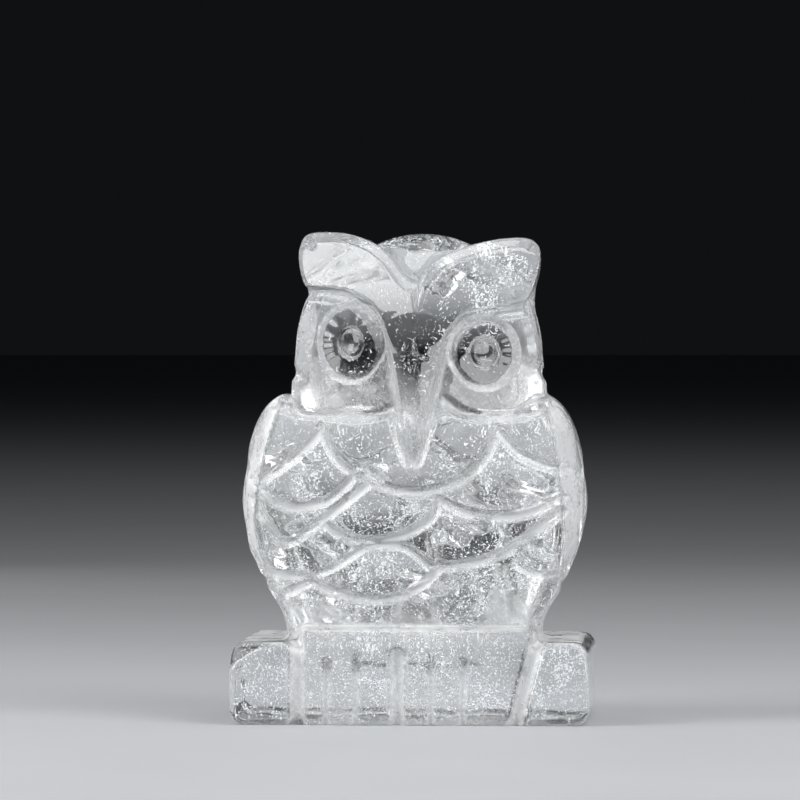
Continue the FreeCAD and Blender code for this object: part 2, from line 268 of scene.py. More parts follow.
# Brows, seen from the front: x out from the face's edge, then height.
LEFT_TUFT = [(0.2, 38.0), (0.6, 43.6), (-0.6, 45.6), (-3.1, 48.4), (-6.1, 49.7), (-8.8, 50.0),
             (-10.9, 49.8), (-11.7, 48.8), (-11.8, 46.9), (-11.1, 44.5), (-9.4, 44.1), (-7.0, 43.9),
             (-4.6, 42.9), (-2.9, 41.0), (-1.8, 38.0)]
RIGHT_TUFT = [(0.4, 38.0), (0.9, 43.6), (2.0, 46.4), (4.6, 48.1), (8.0, 49.1), (11.2, 49.4),
              (12.6, 48.8), (13.0, 47.6), (12.7, 45.4), (11.7, 43.2), (9.6, 42.4), (6.6, 42.0),
              (4.9, 41.2), (3.4, 38.6), (2.6, 37.0)]
TUFT_PIT = (-10.5, 48.7, 0.55, 0.35)     # a small round pit: x, height, radius and depth
BEAK = [(-2.3, 40.5), (-1.8, 36.0), (-1.2, 32.0), (-0.4, 28.4), (0.6, BEAK_TIP), (1.3, 28.6),
        (2.3, 32.4), (3.1, 36.4), (3.4, 40.5), (0.6, 42.0)]

# Half width and depth of each kind of groove.
LAP = (0.50, 0.38, 0.80) # a feather laps the one below, so the groove's lower side is wider: 0.80
NECK_GROOVE = (0.75, 0.42)
BEAK_GROOVE = (0.85, 0.40)
TOE_GROOVE = (0.60, 0.36)
FOOT_GROOVE = (1.05, 0.62)
PILLOW = (3.0, 0.22)     # each feather swells a little between its lines
BREAST_LINES = [
    [(-9.0, 30.3), (-7.1, 26.8), (-4.0, 24.8), (0.7, 23.7), (4.9, 24.8), (7.6, 27.1), (8.8, 30.3)],
    [(-9.0, 29.9), (-11.3, 27.5), (-14.8, 25.1), (-16.0, 24.9)],
    [(8.9, 29.9), (11.3, 27.5), (14.7, 26.1), (16.0, 26.1)],
    [(-15.4, 24.3), (-13.4, 22.6), (-11.0, 22.1), (-8.2, 22.9), (-6.1, 24.8), (-5.5, 26.1)],
    [(-4.3, 24.4), (-9.6, 20.3), (-12.7, 18.6), (-15.0, 21.3), (-15.8, 23.0)],
    [(-8.3, 20.3), (-6.8, 19.3), (-4.0, 18.7), (-0.6, 19.4), (2.1, 21.0), (2.8, 22.6)],
    [(2.8, 23.1), (5.6, 21.7), (8.9, 21.2), (12.3, 21.7), (15.4, 23.3)],
    [(2.4, 16.1), (6.2, 16.5), (9.6, 17.6), (12.3, 19.4), (15.4, 21.8)],
    [(-15.2, 15.6), (-11.6, 15.1), (-8.2, 15.9), (-4.8, 17.9), (-2.0, 18.4), (0.1, 17.9),
     (2.1, 16.2)],
    [(-9.9, 14.7), (-7.5, 13.5), (-4.0, 12.8), (-0.6, 13.3), (2.1, 15.0), (3.0, 16.6)],
    [(-14.4, 12.9), (-12.6, 13.4), (-9.9, 14.7)],
    [(11.0, 16.4), (13.0, 15.4), (15.8, 15.5)],
]
NECK_LINES = [
    [(-13.8, 32.3), (-10.3, 31.4), (-6.8, 31.1), (-3.4, 31.3), (-1.8, 32.2)],
    [(3.4, 33.0), (5.4, 31.6), (8.1, 31.0), (11.2, 31.2), (14.2, 32.1)],
]
BEAK_LINES = [
    [(-10.4, 43.7), (-8.4, 43.5), (-6.2, 43.1), (-4.2, 41.4), (-3.1, 39.4), (-2.4, 36.4),
     (-1.7, 32.6), (-1.0, 29.4), (-0.1, 26.6)],
    [(11.2, 42.0), (8.6, 41.6), (6.1, 41.0), (4.6, 39.6), (3.7, 36.8), (2.9, 33.2), (1.8, 29.8),
     (0.8, 26.6)],
]
# Upright grooves in the feet: distance to the right, height of the top.
TOE_LINES = ((-8.4, 6.3), (-5.4, 7.7), (2.2, 7.7), (5.4, 6.4))
FOOT_GAP_TOP = 7.0


# A folded wing, seen from the side: y, then height.
WING = [(-13.6, SHOULDER + 1.5), (-13.8, 24.0), (-11.8, 16.0), (-4.6, 14.6), (3.6, 13.6), (8.4, 12.6),
        (10.4, 17.0), (11.4, 24.0), (9.6, 30.0), (7.0, SHOULDER + 1.5)]
# The line between the breast and each wing, by height: out to the left, out to the right.
WING_JOINT = [
    (11.0, 13.4, 13.4),
    (15.6, 14.7, 15.1),
    (21.4, 15.8, 15.5),
    (25.6, 15.1, 15.1),
    (31.6, 13.4, 14.0),
    (SHOULDER + 2.0, 12.2, 13.0),
]
WING_PROUD = 0.3         # a wing stands this far outside the breast's edge
WING_LINES = [
    [(-8.2, 27.6), (-5.4, 25.2), (-2.6, 25.6), (-1.4, 28.0)],
    [(-1.4, 27.2), (1.0, 25.0), (4.2, 25.2), (5.8, 28.0)],
    [(5.8, 27.4), (8.0, 25.2), (11.0, 26.2)],
    [(-5.0, 25.2), (-5.2, 21.6), (-1.4, 17.4), (4.4, 14.4)],
    [(-0.8, 24.8), (-1.6, 21.8), (2.0, 17.6), (7.0, 14.2)],
    [(4.0, 25.0), (3.0, 22.0), (5.6, 18.4), (9.6, 15.4)],
    [(8.6, 25.2), (7.4, 22.4), (8.8, 19.4), (11.4, 17.4)],
]
BACK_LINES = [
    [(-9.4, 29.4), (-6.6, 26.4), (-3.2, 26.4), (0.0, 29.0)],
    [(0.0, 29.0), (3.2, 26.4), (6.6, 26.4), (9.4, 29.4)],
    [(-12.2, 25.2), (-9.4, 22.4), (-6.2, 22.6), (-3.4, 25.4)],
    [(-3.4, 25.4), (-1.6, 22.8), (1.6, 22.8), (3.4, 25.4)],
    [(3.4, 25.4), (6.2, 22.6), (9.4, 22.4), (12.2, 25.2)],
    [(-8.0, 22.0), (-7.6, 17.0), (-8.6, 12.6)],
    [(8.0, 22.0), (7.6, 17.0), (8.6, 12.6)],
    [(-12.6, 22.6), (-11.4, 17.4), (-12.0, 13.4)],
    [(12.6, 22.6), (11.4, 17.4), (12.0, 13.4)],
]
TAIL_LINES = (-1.8, 1.8) # distance to the right of the two grooves in the tail
WING_RIM = (0.3, 0.8)    # depth and half width of the groove round a wing


def front_grooves():
    front = FlatMap((-20, 20), (8, 54))
    front.feathers(BREAST_LINES)
    for points in NECK_LINES:
        front.carve(points, *NECK_GROOVE)
    for points in BEAK_LINES:
        front.carve(points, *BEAK_GROOVE)
    return front


def foot_grooves():
    feet = FlatMap((-20, 20), (-2, 16))
    for x, top in TOE_LINES:
        feet.carve([(x, -2.0), (x, 2.0), (x + 0.1, top)], *TOE_GROOVE)
    feet.values *= ramp(feet.v, FOOT_GAP_TOP + 0.8, FOOT_GAP_TOP - 2.2)
    feet.carve([(FEET_LOW[0], -2.0), (FEET_LOW[0], 12.0)], *FOOT_GROOVE)
    feet.carve([(FEET_MIDDLE, -2.0), (FEET_MIDDLE, 2.0), (FEET_MIDDLE, FOOT_GAP_TOP)], *FOOT_GROOVE)
    slant = RIGHT_FOOT_END - 1.4
    feet.carve([(slant - 0.6, -2.0), (slant + 1.2, 5.0), (slant + 3.2, 12.0)], *FOOT_GROOVE)
    return feet


def side_grooves():
    side = FlatMap((-16, 16), (6, 40))
    side.feathers(WING_LINES)
    rim = FlatMap((-16, 16), (6, 40)).outline(WING)
    depth, half_width = WING_RIM
    side.values = np.maximum(side.values, depth * np.clip(1 - (rim.values / half_width) ** 2, 0, 1))
    return side


def back_grooves():
    back = FlatMap((-20, 20), (-2, 54))
    back.feathers(BACK_LINES)
    for x in TAIL_LINES:
        back.carve([(x, TAIL_HIGH[2] - 1.0), (x, 14.0), (x, PERCH_TOP - 1.0)], *NECK_GROOVE)
    return back


FRONT_MAP = front_grooves()
FOOT_MAP = foot_grooves()
SIDE_MAP = side_grooves()
BACK_MAP = back_grooves()
TUFT_MAPS = {
    -1: FlatMap((-16, 8), (34, 54)).outline(LEFT_TUFT),
    1: FlatMap((-8, 17), (34, 54)).outline(RIGHT_TUFT),
}
BEAK_MAP = FlatMap((-6, 8), (22, 46)).outline(BEAK)
WING_MAP = FlatMap((-16, 16), (8, 38)).outline(WING)


# ---- the stone ----------------------------------------------------------------------
PERCH_ROUND = 1.5        # long corners of the perch, seen from the front
PERCH_EDGE = 0.8         # its front and back edges
WORN_FACING = (-0.45, -0.55, 0.70)       # direction of the flat worn on the perch's corner
WORN_DEPTH = 1.8
TRUNK_POWER = 2.7        # 2 is an ellipse, larger is nearer to a box
TRUNK_FRONT = 16.5       # the side walls' plan would reach this far, but the breast cuts it
BREAST_CURVE = 1.7       # how far the breast falls back at its sides
HEAD_POWER = 2.8
HEAD_FRONT = 15.0        # the head's plan would reach this far, but the face cuts it
HEAD_TOP = 45.0
BROW_LEAN = 0.10         # the brows lean back, from this height up
BROW_LEAN_START = 42.0
BROW_BEVEL = 0.75        # the brows' upper front edges are bevelled
TUFT_DEPTH = 6.2         # thickness at the root of a brow
TUFT_TAPER = 0.48        # the brows get thinner upwards, from this height up
TUFT_TAPER_START = 43.0
BEAK_SINK = 0.3          # the beak stands less far off the face than the brows
DIAGONAL = 0.707         # the bevels lie at 45 degrees

# The drilled eyes: a flat disc with faint flutes, a sloping ring round it, and in its
# middle a smaller ring round a dished pupil.
EYE_DISC = {-1: 3.65, 1: 3.15}           # radius of the disc
EYE_RING = {-1: 4.25, 1: 4.00}           # outer radius of the ring
RING_DEPTH = 0.55
PUPIL_RING = (1.42, 0.28, 0.32)          # radius, half width and depth
PUPIL_DISH = (1.05, 0.40)                # radius and depth
FLUTES = 14
FLUTE_DEPTH = 0.034


def beyond_joint(x, z):
    """How far outside the line between the breast and a wing a point lies."""
    joint = np.where(x < 0, profile(z, WING_JOINT, 1), profile(z, WING_JOINT, 2))
    return np.abs(x) - joint


def trunk_field(x, y, z):
    half = profile(z, TRUNK, 1) - WING_PROUD
    side = rounded_plan(x, y, half, TRUNK_FRONT, profile(z, TRUNK, 3), TRUNK_POWER)
    breast = -y - profile(z, TRUNK, 2) + BREAST_CURVE * (x / 16.0) ** 2
    field = both(side, breast * 0.97, 0.5)
    on_wing = ramp(-WING_MAP.read(y, z), -0.2, 0.5) * ramp(beyond_joint(x, z), -0.12, 0.14)
    field = field - WING_PROUD * on_wing * ramp(z, 13.0, 19.0)
    shoulder = NECK + 0.4 + (SHOULDER - NECK) * ramp(np.abs(x + 0.2), 10.5, 13.5)
    field = both(field, 0.85 * (z - shoulder), 1.8)
    return both(field, PERCH_TOP - 3.0 - z, 0.5)


def ahead_of_face(x, y, side):
    """Distance in front of one face plane."""
    turn = FACE_TURN[side]
    return side * (x - FACE_X) * math.sin(turn) - (y - FACE_Y) * math.cos(turn)


def face_planes(x, y, proud):
    return both(ahead_of_face(x, y, -1) - proud, ahead_of_face(x, y, 1) - proud, 0.3)


def head_field(x, y, z):
    half = profile(z, HEAD, 1)
    back = profile(z, HEAD, 2) + 1.0
    side = rounded_plan(x - HEAD_MIDDLE, y + 1.0, half, HEAD_FRONT, back, HEAD_POWER)
    field = both(side, face_planes(x, y, 0.0), 0.5)
    field = both(field, z - HEAD_TOP, 1.6)
    return both(field, NECK - 1.6 - z, 0.6)


def crown_field(x, y, z):
    """The upper part of an egg whose middle is low in the head."""
    middle = (CROWN_LOW + CROWN_HIGH) / 2
    half = (CROWN_HIGH - CROWN_LOW) / 2 - 0.2
    foot = CROWN_LOW[2] - 4.0
    across, along, up = x - middle[0], y - middle[1], z - foot
    size = np.sqrt((across / half[0]) ** 2 + (along / half[1]) ** 2
                   + (up / (CROWN_HIGH[2] - foot)) ** 2)
    reach = np.sqrt(across ** 2 + along ** 2 + up ** 2)
    return reach * (size - 1) / np.maximum(size, 0.05)


def tuft_field(x, y, z, side):
    outline = TUFT_MAPS[side].read(x, z)
    lean = BROW_LEAN * np.maximum(z - BROW_LEAN_START, 0)
    front = face_planes(x, y - lean, BROW_PROUD)
    behind = -ahead_of_face(x, y, side) - TUFT_DEPTH
    taper = 0.9 * (behind + TUFT_TAPER * (z - TUFT_TAPER_START))
    behind = both(behind, taper, 1.5)
    upper_edge = TUFT_MAPS[side].read(x, z + 0.5) - TUFT_MAPS[side].read(x, z - 0.5)
    bevel = DIAGONAL * (outline + front) + BROW_BEVEL * ramp(upper_edge, -0.1, 0.5)
    return both(both(both(outline, front, 0.5), bevel, 0.25), behind, 0.8)


def beak_field(x, y, z):
    outline = BEAK_MAP.read(x, z)
    tuck = 0.03 * np.maximum(30.0 - z, 0)
    front = face_planes(x, y - tuck, BROW_PROUD - BEAK_SINK * ramp(z, 42.5, 39.5))
    return both(both(outline, front, 0.5), y + 6.0, 0.5)


def feet_field(x, y, z):
    low = np.array([FEET_LOW[0], FRONT + 0.02, -2.0])
    high = np.array([RIGHT_FOOT_END + 0.8, FRONT + 5.0, FEET_HIGH[2]])
    return long_block(x, y, z, low, high, 1.1, 1.6)


def perch_field(x, y, z):
    """A block with a flat worn on its left front corner, on top."""
    block = long_block(x, y, z, PERCH_LOW, PERCH_HIGH, PERCH_ROUND, PERCH_EDGE)
    across, along, up = WORN_FACING
    worn = across * (x - PERCH_LOW[0]) + along * (y - FRONT) + up * (z - PERCH_TOP)
    return both(block, worn + WORN_DEPTH, 0.5)


def tail_field(x, y, z):
    rise = (z - PERCH_TOP) / (TAIL_HIGH[2] - PERCH_TOP)
    half = TAIL_HIGH[0] - 1.5 * rise
    slope = both(y - TAIL_HIGH[1] + 0.05, (y - 12.4) * 0.75 + (z - 16.6) * 0.66, 1.0)
    field = both(np.abs(x) - half, slope, 0.8)
    field = both(field, 7.0 - y, 0.5)
    field = both(field, PERCH_TOP - 3.0 - z, 0.5)
    return both(field, z - TAIL_HIGH[2] - 1.0, 0.8)


def eye_place(x, y, z, side):
    """Distance from an eye's middle along the face, and the angle round it."""
    centre = EYES[side]
    turn = FACE_TURN[side]
    out = side * (x - centre[0]) * math.cos(turn) + (y - centre[1]) * math.sin(turn)
    up = z - centre[2]
    return np.hypot(out, up), np.arctan2(up, out)


def eye_cut(x, y, z, side):
    """How far the drills went in, and how ground the ring is."""
    radius, turn = eye_place(x, y, z, side)
    disc, ring = EYE_DISC[side], EYE_RING[side]
    wall = ramp(radius, disc - 0.12, disc + 0.05)
    slope = RING_DEPTH * np.clip((ring - radius) / (ring - disc), 0, 1) * wall
    middle, half_width, depth = PUPIL_RING
    pupil_ring = depth * np.clip(1 - ((radius - middle) / half_width) ** 2, 0, 1)
    dish_radius, dish_depth = PUPIL_DISH
    dish = dish_depth * np.clip(1 - (radius / dish_radius) ** 2, 0, 1) ** 0.5
    uneven = 0.6 + 0.4 * np.sin(turn + 1.0)
    flutes = FLUTE_DEPTH * np.cos(FLUTES * turn + np.sin(3 * turn)) * uneven
    flutes = flutes * ramp(radius, 1.9, disc - 0.6) * ramp(radius, disc, disc - 0.3)
    ground = ramp(radius, ring, disc) * (radius > disc - 0.1)
    in_front = ramp(y, 0.0, -2.0)
    return (slope + pupil_ring + dish + flutes) * in_front, ground * in_front


def chip(x, y, z):
    """Depth of a small round pit near the tip of the left tuft."""
    across, up, radius, depth = TUFT_PIT
    away = np.hypot(x - across, z - up) / radius
    return depth * np.sqrt(np.clip(1 - away ** 2, 0, 1)) * (y < 0)


def waviness(x, y, z):
    """Hand polishing never leaves a true flat."""
    return (0.030 * np.sin(0.55 * x + 0.31 * z + 0.8) * np.cos(0.47 * y - 0.22 * z)
            + 0.018 * np.sin(1.05 * z - 0.6 * x + 2.1) * np.cos(0.9 * y + 0.5 * x))


def carving(x, y, z):
    """Depth of every groove at a point near the skin."""
    front = FRONT_MAP.read(x, z) * ramp(y, -2.0, -3.6)
    feet = FOOT_MAP.read(x, z) * ramp(y, FRONT + 2.0, FRONT + 1.4)
    side = SIDE_MAP.read(y, z) * ramp(np.abs(x), 11.0, 12.5) * (z > 10.0)
    back = BACK_MAP.read(x, z) * ramp(y, 5.0, 7.0)
    return np.maximum.reduce([front, feet, side, back])


# ---- ground and cloudy places -------------------------------------------------------
# Frost: 0 where the stone is polished, 1 where it was ground and left matt.
GROOVE_FROST = 0.75
RING_FROST = 0.7
WING_EDGE_FROST = 0.85
TEMPLE_FROST = 0.6
BEAK_FROST = 0.45
UNDER_EYE_FROST = 0.4
# Milk: the share of light that clouds close below the skin scatter.
LOW_BODY_MILK = 0.40
PERCH_MILK = 0.06
TOE_MILK = 0.20          # more than in the perch
FOOT_GROOVE_MILK = 0.48
PERCH_TOP_MILK = 0.5
BREAST_MILK = 0.22
CHEEK_MILK = 0.26
BROW_MILK = 0.10
BEAK_MILK = 0.22
WING_EDGE_MILK = 0.6
RING_MILK = 0.5


def wing_edge(x, y, z, fade, end):
    """1 on the strip of each wing that runs along the breast."""
    strip = band(beyond_joint(x, z), 0.0, 0.3, fade, end)
    return strip * ramp(y, -1.0, -5.0) * ramp(z, 13.4, 15.4) * (z < SHOULDER + 0.5)


def on_low_beak(x, z):
    return ramp(BEAK_MAP.read(x, z), 1.0, 0.2) * ramp(z, 35.5, 32.5)


def ground_places(x, y, z):
    """Frost on the places, other than grooves, that were never polished."""
    wings = wing_edge(x, y, z, 1.4, 2.4)
    on_top = band(z, PERCH_TOP - 0.35, PERCH_TOP - 0.05, PERCH_TOP + 0.6, PERCH_TOP + 2.4)
    on_top = on_top * ramp(y, FRONT + 2.0, FRONT + 3.0)
    ledge_top = FEET_HIGH[2]
    ledge = band(z, ledge_top - 0.55, ledge_top - 0.3, ledge_top, ledge_top + 0.3)
    ledge = ledge * ramp(y, FRONT + 3.5, FRONT + 2.5) * ramp(np.abs(x), 13.0, 11.5)
    bottom = ramp(z, 1.3, 0.0)
    temples = ramp(np.abs(x - HEAD_MIDDLE), 9.5, 11.5) * band(z, NECK, 33.5, 43.5, 45.0)
    beak = on_low_beak(x, z) * ramp(y, -8.0, -9.5)
    under_eyes = ramp(np.abs(x - FACE_X), 11.0, 9.0) * band(z, NECK, 32.5, 33.5, 37.5) * (y < -4.0)
    return np.maximum.reduce([WING_EDGE_FROST * wings, on_top, ledge, bottom, TEMPLE_FROST * temples,
                              BEAK_FROST * beak, UNDER_EYE_FROST * under_eyes])


def milkiness(x, y, z):
    """How cloudy the stone is close below its skin."""
    above_feet = ramp(z, FEET_HIGH[2] - 0.4, FEET_HIGH[2] + 0.3)
    low_body = LOW_BODY_MILK * ramp(z, 22.0, 10.0) * above_feet
    toes = PERCH_MILK + TOE_MILK * ramp(np.abs(x - FEET_MIDDLE), 12.0, 8.0)
    toe_gaps = FOOT_GROOVE_MILK * ramp(FOOT_MAP.read(x, z), 0.06, 0.26) * (y < FRONT + 2.0)
    perch_top = PERCH_TOP_MILK * ramp(z, PERCH_TOP - 0.4, PERCH_TOP) * ramp(np.abs(x), 12.0, 13.0)
    perch = np.maximum.reduce([toes, toe_gaps, perch_top]) * (1 - above_feet)
    breast = BREAST_MILK * ramp(z, NECK + 1.0, NECK - 1.0) * ramp(z, 18.0, 22.0)
    cheeks = CHEEK_MILK * ramp(np.abs(x - FACE_X), 1.0, 2.5) * band(z, NECK - 1.0, NECK + 0.5, 35.0, 40.0)
    brows = BROW_MILK * ramp(z, 42.0, 44.0)
    beak = BEAK_MILK * on_low_beak(x, z)
    wings = WING_EDGE_MILK * wing_edge(x, y, z, 1.2, 2.0)
    milk = np.maximum.reduce([low_body, perch, breast, cheeks, brows, beak, wings])
    for side in (-1, 1):
        radius, _ = eye_place(x, y, z, side)
        disc, ring = EYE_DISC[side], EYE_RING[side]
        on_ring = band(radius, disc - 0.1, disc + 0.2, ring - 0.1, ring + 0.2) * (y < 0.0)
        milk = np.maximum(milk * ramp(radius, disc - 0.3, disc + 0.3), RING_MILK * on_ring)
    return milk


# ---- the whole stone ----------------------------------------------------------------
def stone_blank(x, y, z):
    """Signed distance from the stone's skin before its grooves were cut."""
    field = either(perch_field(x, y, z), trunk_field(x, y, z), 1.1)
    field = either(field, feet_field(x, y, z), 0.35)
    field = either(field, tail_field(x, y, z), 0.4)
    head = either(head_field(x, y, z), crown_field(x, y, z), 1.2)
    for side in (-1, 1):
        corner = 0.35 + 1.4 * ramp(ahead_of_face(x, y, side), -1.0, -3.5)
        head = either(head, tuft_field(x, y, z, side), corner)
    head = either(head, beak_field(x, y, z), 0.3)
    return either(field, head, 0.35)


def stone_field(x, y, z):
    """Signed distance from the finished stone's skin, negative inside, and the frost on it."""
    grooves = carving(x, y, z) + chip(x, y, z)
    frost = np.maximum(GROOVE_FROST * ramp(grooves, 0.20, 0.48), ground_places(x, y, z))
    for side in (-1, 1):
        cut, ground = eye_cut(x, y, z, side)
        grooves = grooves + cut
        frost = np.maximum(frost, RING_FROST * ground)
    field = stone_blank(x, y, z) + grooves + waviness(x, y, z)
    return np.maximum(field, -z), frost


# ---- the named regions --------------------------------------------------------------
# A point of the stone belongs to the first region here whose function is negative.
PUPIL_RADIUS = 1.45
PUPIL_DEPTH = 1.2
EYE_RADIUS = 3.62
EYE_DEPTH = 1.6
BEAK_DEPTH = 5.0
BREAST_END = FRONT + 7.5
FOOT_END = FEET_HIGH[1]


def eye_region(side, radius, depth):
    def function(x, y, z):
        away, _ = eye_place(x, y, z, side)
        return np.maximum(away - radius, -depth - ahead_of_face(x, y, side))
    return function


def beak_region(x, y, z):
    return np.maximum(BEAK_MAP.read(x, z), y - FRONT - BEAK_DEPTH)


def tuft_region(side):
    def function(x, y, z):
        return np.maximum(TUFT_MAPS[side].read(x, z) - 0.1, -TUFT_DEPTH - ahead_of_face(x, y, side))
    return function


def wing_region(side):
    def function(x, y, z):
        inner = np.maximum(-beyond_joint(x, z), -side * x)
        return np.maximum(np.maximum(inner, WING_MAP.read(y, z) - 0.2), z - SHOULDER - 0.4)
    return function


def foot_region(start, end):
    def function(x, y, z):
        across = np.maximum(start - x, x - end)
        return np.maximum(np.maximum(across, y - FOOT_END), z - FEET_HIGH[2] - 0.05)
    return function


REGIONS = [
    ("left_pupil", eye_region(-1, PUPIL_RADIUS, PUPIL_DEPTH)),
    ("right_pupil", eye_region(1, PUPIL_RADIUS, PUPIL_DEPTH)),
    ("left_eye", eye_region(-1, EYE_RADIUS, EYE_DEPTH)),
    ("right_eye", eye_region(1, EYE_RADIUS, EYE_DEPTH)),
    ("beak", beak_region),
    ("left_ear_tuft", tuft_region(-1)),
    ("right_ear_tuft", tuft_region(1)),
    ("left_wing", wing_region(-1)),
    ("right_wing", wing_region(1)),
    ("crown", lambda x, y, z: CROWN_LOW[2] - z),
    ("head", lambda x, y, z: NECK - z),
    ("left_foot", foot_region(FEET_LOW[0], FEET_MIDDLE)),
    ("right_foot", foot_region(FEET_MIDDLE, RIGHT_FOOT_END)),
    ("perch", lambda x, y, z: z - PERCH_TOP),
    ("tail", lambda x, y, z: tail_field(x, y, z) - 0.1),
    ("breast", lambda x, y, z: y - BREAST_END),
    ("back", lambda x, y, z: np.full(np.shape(x), -1.0)),
]


# ---- meshing ------------------------------------------------------------------------
MARGIN = 2.5 * CELL      # the grid reaches this far past the stone
DETAIL_REACH = 2.0       # grooves change the field only this near to the skin
SLAB = 16                # grid planes that are worked out together
SKIN_WEIGHT = 4.0        # at a seam's end, a point follows the skin more than the seam
NORMAL_REACH = 0.07


def sample_grid():
    """The field and the region number at every point of a regular grid."""
    low = np.array([PERCH_LOW[0], FRONT, 0.0]) - MARGIN
    high = np.array([PERCH_HIGH[0], BACK, TOP]) + MARGIN
    axes = [np.arange(a, b, CELL) for a, b in zip(low, high)]
    shape = tuple(len(axis) for axis in axes)
    field = np.empty(shape, np.float32)
    labels = np.zeros(shape, np.uint8)
    for start in range(0, shape[0], SLAB):
        part = slice(start, start + SLAB)
        x, y, z = np.meshgrid(axes[0][part], axes[1], axes[2], indexing="ij")
        values = stone_blank(x, y, z)
        near = np.abs(values) < DETAIL_REACH
        values[near] = stone_field(x[near], y[near], z[near])[0]
        field[part] = values
        inside = values < 0
        labels[part][inside] = region_numbers(x[inside], y[inside], z[inside])
    return axes, field, labels


def region_numbers(x, y, z):
    """The number of the region that each point inside the stone belongs to, from 1."""
    number = np.zeros(x.shape, np.uint8)
    for order, (_, function) in enumerate(REGIONS, 1):
        free = np.flatnonzero(number == 0)
        hit = function(x[free], y[free], z[free]) < 0
        number[free[hit]] = order
    return number


def seam_share(points, step, names):
    """Where along a grid edge the seam between two regions lies."""
    share = np.full(len(points), 0.5)
    for order in np.unique(names):
        own = names == order
        function = REGIONS[order - 1][1]
        here = function(*points[own].T)
        there = function(*(points[own] + step).T)
        share[own] = here / np.where(here == there, 1e-9, here - there)
    return np.clip(share, 0.02, 0.98)


def find_crossings(axes, field, labels):
    """Every grid edge whose two ends differ: its crossing point and the four cells round it."""
    origin = np.array([axis[0] for axis in axes])
    shape = np.array(labels.shape)
    found = []
    for axis in range(3):
        step = np.zeros(3, int)
        step[axis] = 1
        first = tuple(slice(0, n - s) for n, s in zip(shape, step))
        second = tuple(slice(s, n) for n, s in zip(shape, step))
        index = np.argwhere(labels[first] != labels[second])
        a = labels[tuple(index.T)]
        b = labels[tuple((index + step).T)]
        fa = field[tuple(index.T)].astype(float)
        fb = field[tuple((index + step).T)].astype(float)
        points = origin + index * CELL
        skin = (a == 0) | (b == 0)
        share = np.clip(fa / np.where(fa == fb, 1e-9, fa - fb), 0.02, 0.98)
        share[~skin] = seam_share(points[~skin], step * CELL, np.minimum(a, b)[~skin])
        v, w = (axis + 1) % 3, (axis + 2) % 3
        cells = []
        for dv, dw in ((-1, -1), (0, -1), (0, 0), (-1, 0)):
            cell = index.copy()
            cell[:, v] += dv
            cell[:, w] += dw
            cells.append(np.ravel_multi_index(tuple(cell.T), labels.shape))
        found.append((points + share[:, None] * step * CELL, skin, a, b, np.stack(cells, 1)))
    return [np.concatenate(group) for group in zip(*found)]


def skin_normals(points):
    normal = np.empty(points.shape)
    for axis in range(3):
        shift = np.zeros(3)
        shift[axis] = NORMAL_REACH
        ahead, _ = stone_field(*(points + shift).T)
        behind, _ = stone_field(*(points - shift).T)
        normal[:, axis] = ahead - behind
    return normal / np.maximum(np.linalg.norm(normal, axis=1, keepdims=True), 1e-9)


def pull_to_skin(points):
    """Points near the skin, moved onto it."""
    for _ in range(3):
        away = np.clip(stone_field(*points.T)[0], -0.4 * CELL, 0.4 * CELL)
        points = points - away[:, None] * skin_normals(points)
    return points


def mesh_stone():
    """Shared vertices, their normals and marks, and for each region its faces: its part
    of the skin, and the cuts where it meets its neighbours."""
    crossing, skin, a, b, cells = find_crossings(*sample_grid())
    ids, quads = np.unique(cells.ravel(), return_inverse=True)
    quads = quads.reshape(-1, 4)
    weight = np.repeat(np.where(skin, SKIN_WEIGHT, 1.0), 4)
    total = np.bincount(quads.ravel(), weight, len(ids))
    points = np.empty((len(ids), 3))
    for axis in range(3):
        pull = weight * np.repeat(crossing[:, axis], 4)
        points[:, axis] = np.bincount(quads.ravel(), pull, len(ids)) / total
    on_skin = np.zeros(len(ids), bool)
    on_skin[quads[skin].ravel()] = True
    points[on_skin] = pull_to_skin(points[on_skin])
    normals = np.zeros(points.shape)
    normals[:, 2] = 1.0
    normals[on_skin] = skin_normals(points[on_skin])
    frost = np.zeros(len(points))
    frost[on_skin] = stone_field(*points[on_skin].T)[1]
    marks = {"frost": frost, "milk": milkiness(*points.T)}
    faces = {}
    for order, (name, _) in enumerate(REGIONS, 1):
        ahead, behind = a == order, b == order
        faces[name] = (np.vstack([quads[ahead], quads[behind][:, ::-1]]),
                       np.concatenate([skin[ahead], skin[behind]]))
    return points, normals, marks, faces


def region_object(name, points, normals, marks, faces, is_skin, materials):
    used, local = np.unique(faces.ravel(), return_inverse=True)
    mesh = bpy.data.meshes.new("quartz_" + name)
    mesh.vertices.add(len(used))
    mesh.vertices.foreach_set("co", (points[used] * MM).ravel())
    mesh.loops.add(faces.size)
    mesh.loops.foreach_set("vertex_index", local.ravel())
    mesh.polygons.add(len(faces))
    mesh.polygons.foreach_set("loop_start", np.arange(0, faces.size, 4))
    for material in materials:
        mesh.materials.append(material)
    mesh.polygons.foreach_set("material_index", np.where(is_skin, 0, 1))
    mesh.polygons.foreach_set("use_smooth", np.ones(len(faces), bool))
    mesh.update(calc_edges=True)
    for kind, values in marks.items():
        mark = mesh.attributes.new(kind, "FLOAT", "POINT")
        mark.data.foreach_set("value", values[used])
    mesh.normals_split_custom_set_from_vertices(normals[used])
    piece = bpy.data.objects.new("quartz_" + name, mesh)
    bpy.context.scene.collection.objects.link(piece)
    return piece


# ---- materials ----------------------------------------------------------------------
QUARTZ_IOR = 1.544


def new_material(name):
    material = bpy.data.materials.new(name)
    material.use_nodes = True
    tree = material.node_tree
    tree.nodes.clear()
    output = tree.nodes.new("ShaderNodeOutputMaterial")
    shader = tree.nodes.new("ShaderNodeBsdfPrincipled")
    tree.links.new(shader.outputs["BSDF"], output.inputs["Surface"])
    return material, tree, shader


